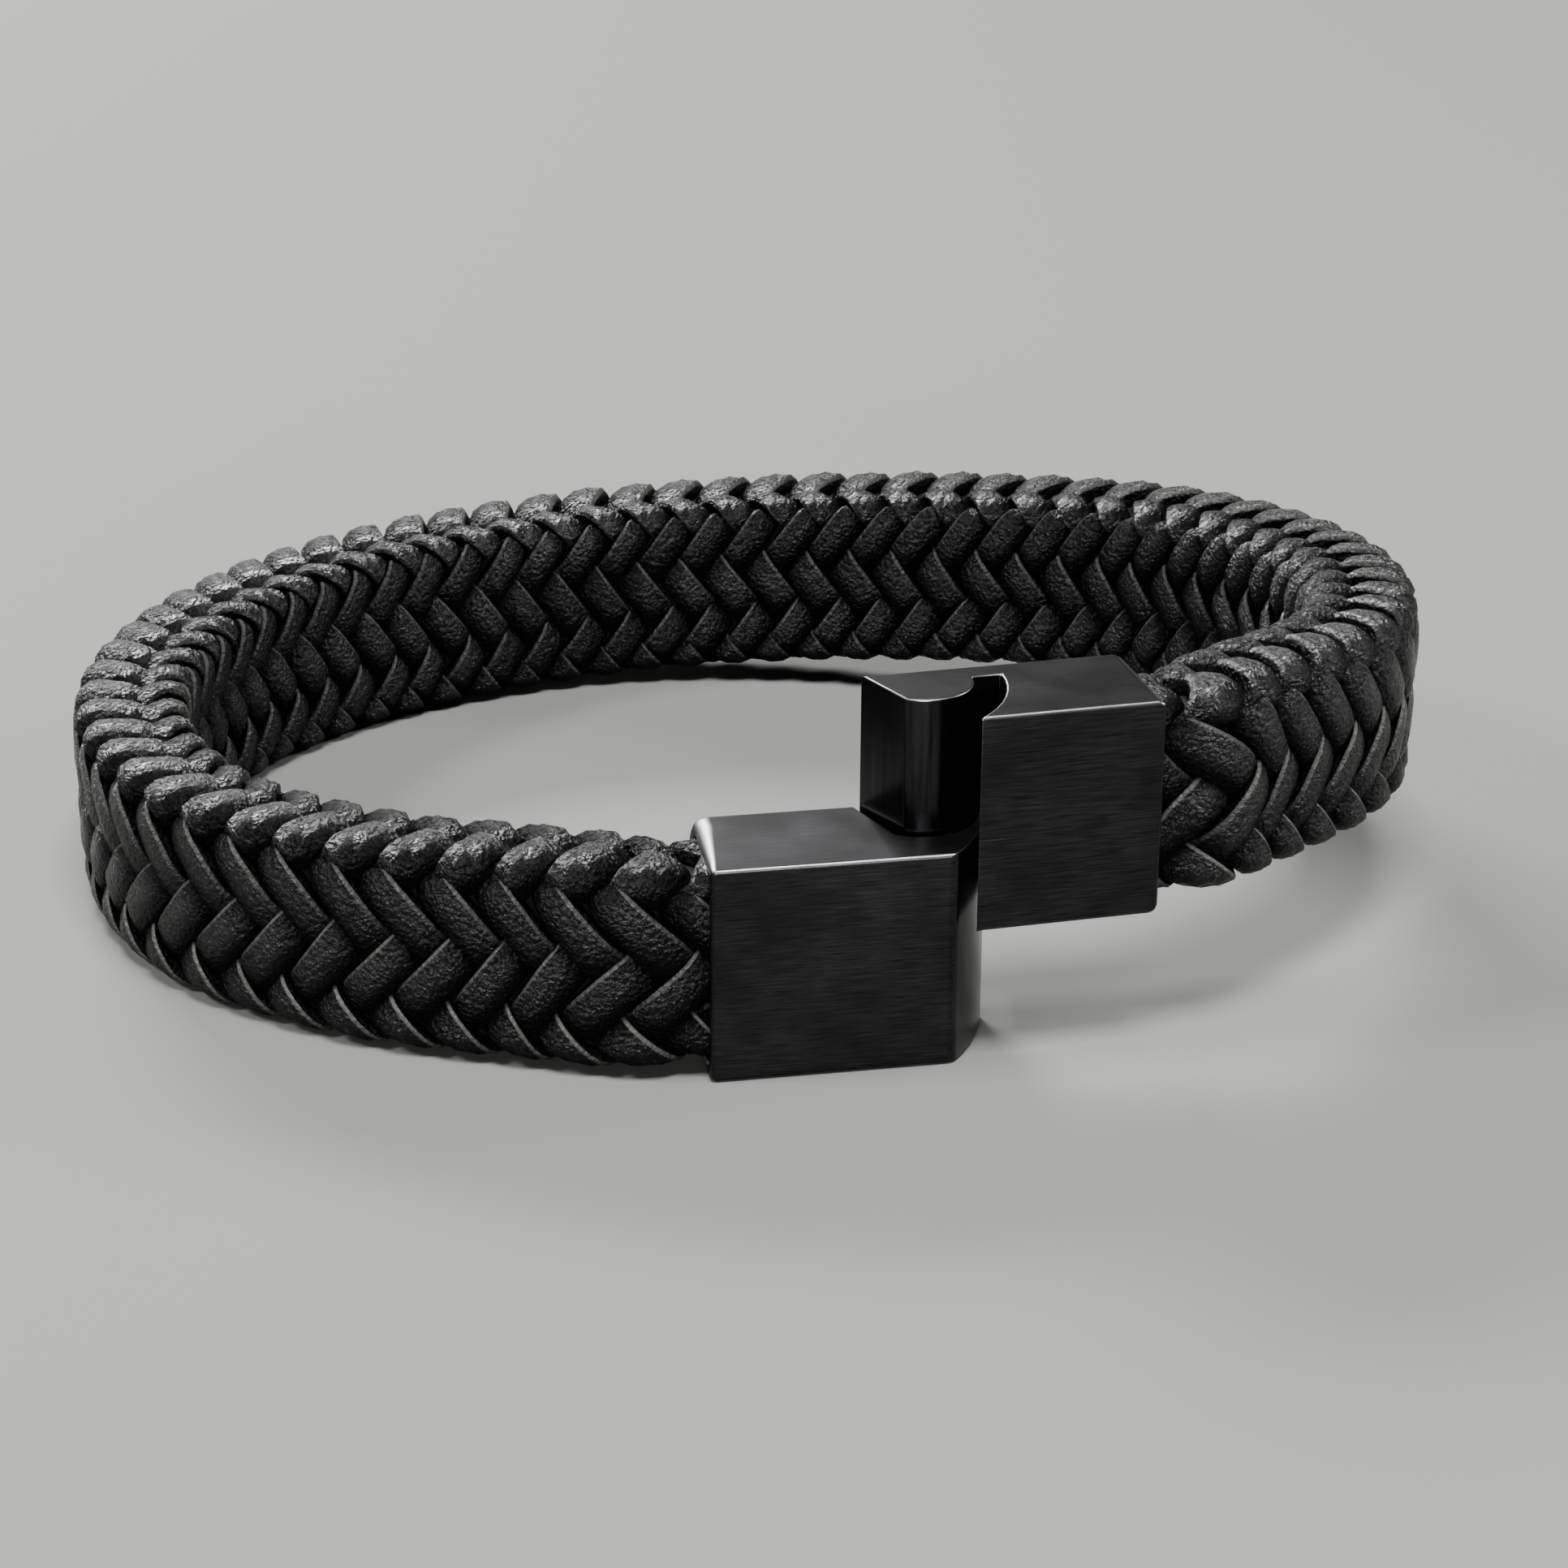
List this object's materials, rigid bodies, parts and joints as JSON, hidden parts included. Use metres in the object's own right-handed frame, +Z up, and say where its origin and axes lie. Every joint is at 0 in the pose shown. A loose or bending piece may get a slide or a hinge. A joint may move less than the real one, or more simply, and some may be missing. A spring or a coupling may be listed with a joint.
{
  "type": "woven leather bracelet",
  "caption": "Wide bracelet of flat leather strips braided in a herringbone, with a black brushed steel sliding hook clasp, lying on its side with the clasp half open.",
  "frame": {"origin": "on the resting surface, under the middle of the whole bracelet's bounding box", "axes": "+Z up across the band's width, +X along the clasp from the socket half to the hook half, +Y from the clasp to the back of the loop"},
  "size_m": [0.0818, 0.0674, 0.0207],
  "materials": {
    "leather": "fine crinkled grain with a medium sheen",
    "steel": "black plated, brushed along the clasp"
  },
  "bodies": {
    "root": {"braided_band": "leather", "socket_half": "steel", "hook_half": "steel"}
  },
  "joints": []
}
